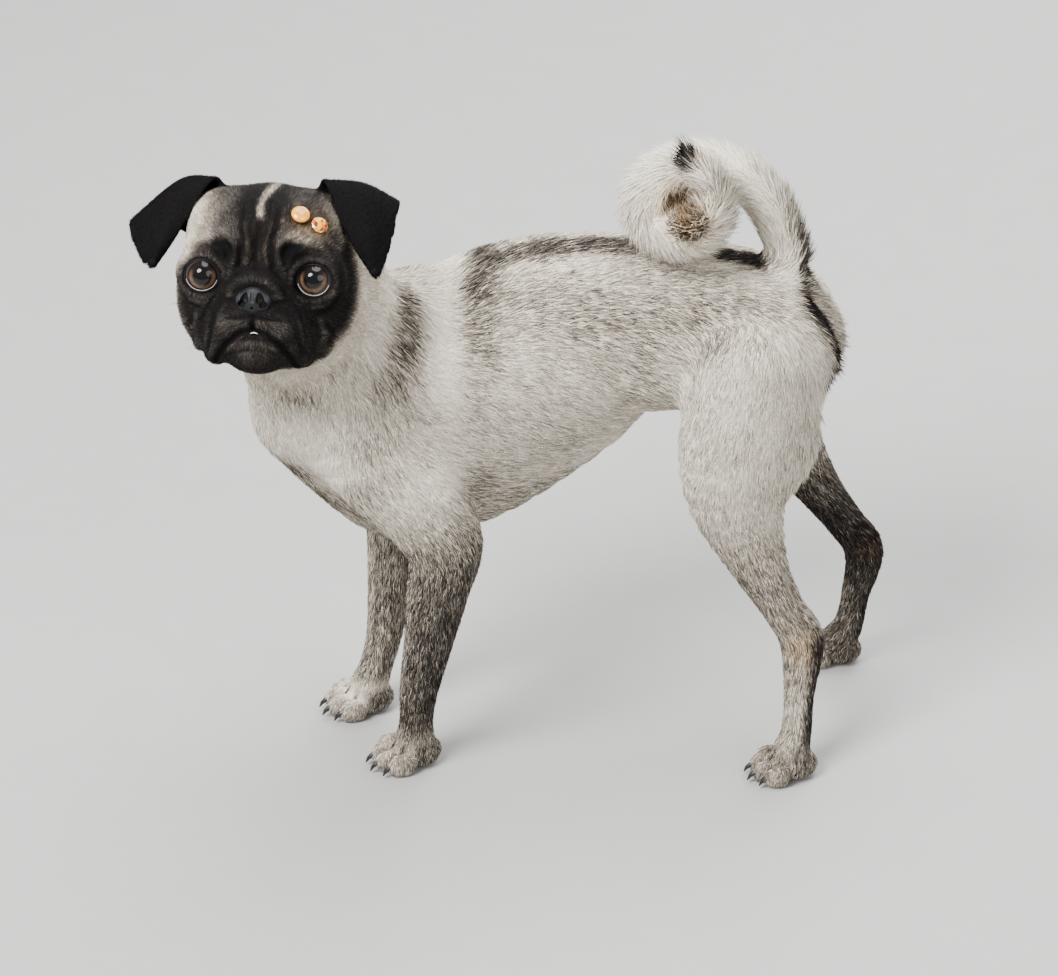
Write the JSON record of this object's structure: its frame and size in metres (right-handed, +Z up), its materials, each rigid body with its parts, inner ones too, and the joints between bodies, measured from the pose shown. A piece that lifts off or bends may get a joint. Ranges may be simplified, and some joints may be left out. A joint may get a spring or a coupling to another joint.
{
  "type": "pug dog figure",
  "caption": "Life-size still model of a standing pug with folded ears, a wrinkled dark face, a tightly curled tail and small orange beads on its forehead.",
  "frame": {"origin": "on the floor, under the middle of the model's box", "axes": "+Z up; the dog looks along -Y with its left side towards +X, its head turned towards +X"},
  "size_m": [0.226, 0.4298, 0.3928],
  "materials": {
    "coat": "short silver-fawn fur with a black face mask",
    "ear": "black velvety fur",
    "eye": "wet and glossy, dark brown with a black pupil",
    "nose": "black, finely pebbled, slightly moist",
    "bead": "glossy, clear orange"
  },
  "bodies": {
    "root": {"head": "coat", "neck": "coat", "chest": "coat", "loin": "coat", "rump": "coat", "tail_1": "coat", "tail_2": "coat", "tail_3": "coat", "tail_4": "coat", "foreleg_left_upper": "coat", "foreleg_left_lower": "coat", "foreleg_left_paw": "coat", "foreleg_right_upper": "coat", "foreleg_right_lower": "coat", "foreleg_right_paw": "coat", "hindleg_left_thigh": "coat", "hindleg_left_shank": "coat", "hindleg_left_pastern": "coat", "hindleg_left_paw": "coat", "hindleg_right_thigh": "coat", "hindleg_right_shank": "coat", "hindleg_right_pastern": "coat", "hindleg_right_paw": "coat", "ear_left": "ear", "ear_right": "ear", "eye_left": "eye", "eye_right": "eye", "nose": "nose", "bead_round": "bead", "bead_faceted": "bead"}
  },
  "joints": []
}
